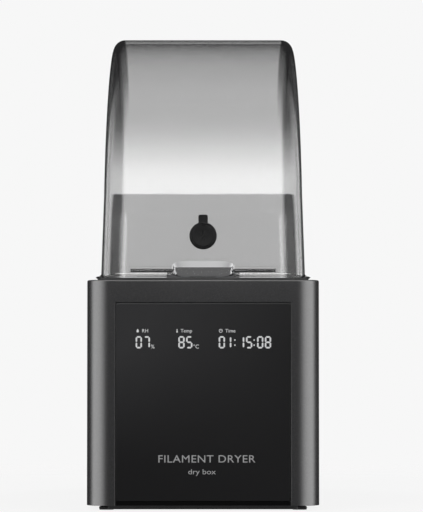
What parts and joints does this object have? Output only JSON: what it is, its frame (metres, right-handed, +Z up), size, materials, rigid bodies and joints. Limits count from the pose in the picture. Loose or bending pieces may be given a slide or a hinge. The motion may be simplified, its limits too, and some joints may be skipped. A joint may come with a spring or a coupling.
{
  "type": "filament dryer box",
  "caption": "Upright heated dryer box for one spool of printer filament, with a tall arched see-through lid, glass front panel, rollers, feeder, blower and heater.",
  "frame": {"origin": "Centre of the box's footprint, on the plane under the feet.", "axes": "+Z up, the display front faces -Y, +Y runs back along the spool's long side, +X to the right seen from the front."},
  "size_m": [0.114, 0.28, 0.245],
  "materials": {
    "dark_shell": "fine satin dark grey metallic coating",
    "black_glass": "smooth black smoked panel",
    "smoke_clear": "polished smoky see-through plastic",
    "grey_liner": "matte moulded heat-proof plastic",
    "black_plastic": "finely textured black moulding",
    "rubber": "matte black rubber",
    "latch_metal": "fine satin silver",
    "hinge_metal": "satin black coated metal",
    "steel": "ground bright steel",
    "aluminium": "plain brushed sheet",
    "brass": "machined brass",
    "nylon": "natural white nylon",
    "circuit_board": "dark green laminate with solder mask",
    "ribbon_cable": "flat grey ribbon",
    "clear_tube": "milky slippery tube"
  },
  "bodies": {
    "base": {"outer_housing": "dark_shell", "rim_seal": "rubber", "inner_liner": "grey_liner", "bottom_cover": "black_plastic", "rubber_foot_front_left": "rubber", "rubber_foot_front_right": "rubber", "rubber_foot_rear_left": "rubber", "rubber_foot_rear_right": "rubber", "display_panel": "black_glass", "display_board": "circuit_board", "display_cable": "ribbon_cable", "rear_panel": "black_plastic", "power_inlet": "black_plastic", "signal_port_left": "black_plastic", "signal_port_right": "black_plastic", "outlet_coupler": "black_plastic", "flap_motor": "black_plastic", "blower_housing": "black_plastic", "blower_motor": "steel", "heater_block": "aluminium", "air_duct": "black_plastic", "front_bearing_left": "steel", "front_bearing_right": "steel", "rear_bearing_left": "steel", "rear_bearing_right": "steel", "roller_motor": "steel", "feeder_housing": "black_plastic", "feeder_cover": "grey_liner", "feeder_motor": "steel", "inlet_funnel": "nylon", "filament_tube": "clear_tube", "main_board": "circuit_board", "power_supply": "aluminium", "humidity_sensor": "circuit_board", "spool_tag_reader": "circuit_board", "base_hinge_bracket": "hinge_metal", "hinge_pin": "steel", "latch_catch": "steel"},
    "lid": {"lid_shell": "smoke_clear", "lid_hinge_leaf": "hinge_metal", "latch_pivot_rod": "steel", "latch_spring": "steel"},
    "latch": {"lid_latch": "latch_metal"},
    "plug": {"bypass_plug": "rubber"},
    "front_roller": {"front_roller_shaft": "steel", "front_tyre_left": "rubber", "front_tyre_right": "rubber", "roller_gear": "nylon"},
    "rear_roller": {"rear_roller_shaft": "steel", "rear_tyre_left": "rubber", "rear_tyre_right": "rubber"},
    "pinion": {"roller_pinion": "brass"},
    "blower": {"blower_impeller": "black_plastic"},
    "flap": {"exhaust_flap": "black_plastic"},
    "feeder_drive": {"feeder_drive_gear": "brass"},
    "feeder_idler": {"feeder_idler_gear": "brass"},
    "desiccant": {"desiccant_box": "nylon", "desiccant_cap": "grey_liner"},
    "collet": {"outlet_collet": "nylon"}
  },
  "joints": [
    {"name": "lid_hinge", "type": "hinge", "parent": "base", "child": "lid", "pos_m": [0, 0.1356, 0.1176], "axis": [-1, 0, 0], "range_deg": [0, 85]},
    {"name": "latch_pivot", "type": "hinge", "parent": "lid", "child": "latch", "pos_m": [0, -0.134, 0.117], "axis": [-1, 0, 0], "range_deg": [0, 14], "stiffness_Nm_per_rad": 0.006},
    {"name": "plug_pull", "type": "slide", "parent": "lid", "child": "plug", "axis": [0, -1, 0], "range_m": [0, 0.012]},
    {"name": "front_roller_spin", "type": "hinge", "parent": "base", "child": "front_roller", "pos_m": [0, -0.0545, 0.0436], "axis": [1, 0, 0], "continuous": true},
    {"name": "rear_roller_spin", "type": "hinge", "parent": "base", "child": "rear_roller", "pos_m": [0, 0.0545, 0.0436], "axis": [1, 0, 0], "continuous": true},
    {"name": "pinion_spin", "type": "hinge", "parent": "base", "child": "pinion", "pos_m": [-0.05, -0.0545, 0.02845], "axis": [1, 0, 0], "continuous": true},
    {"name": "blower_spin", "type": "hinge", "parent": "base", "child": "blower", "pos_m": [0, -0.022, 0.012], "axis": [0, 0, 1], "continuous": true},
    {"name": "flap_swing", "type": "hinge", "parent": "base", "child": "flap", "pos_m": [-0.016, 0.1326, 0.1], "axis": [-1, 0, 0], "range_deg": [0, 50]},
    {"name": "feeder_drive_spin", "type": "hinge", "parent": "base", "child": "feeder_drive", "pos_m": [0.02, -0.11908, 0.085], "axis": [1, 0, 0], "continuous": true},
    {"name": "feeder_idler_spin", "type": "hinge", "parent": "base", "child": "feeder_idler", "pos_m": [0.02, -0.10693, 0.085], "axis": [1, 0, 0], "continuous": true},
    {"name": "desiccant_lift", "type": "slide", "parent": "base", "child": "desiccant", "axis": [0, 0, 1], "range_m": [0, 0.06]},
    {"name": "collet_press", "type": "slide", "parent": "base", "child": "collet", "axis": [0, -1, 0], "range_m": [0, 0.001], "stiffness_N_per_m": 20}
  ],
  "couplings": [
    {"joint": "pinion_spin", "follows": "front_roller_spin", "ratio": -2},
    {"joint": "feeder_idler_spin", "follows": "feeder_drive_spin", "ratio": -1}
  ]
}
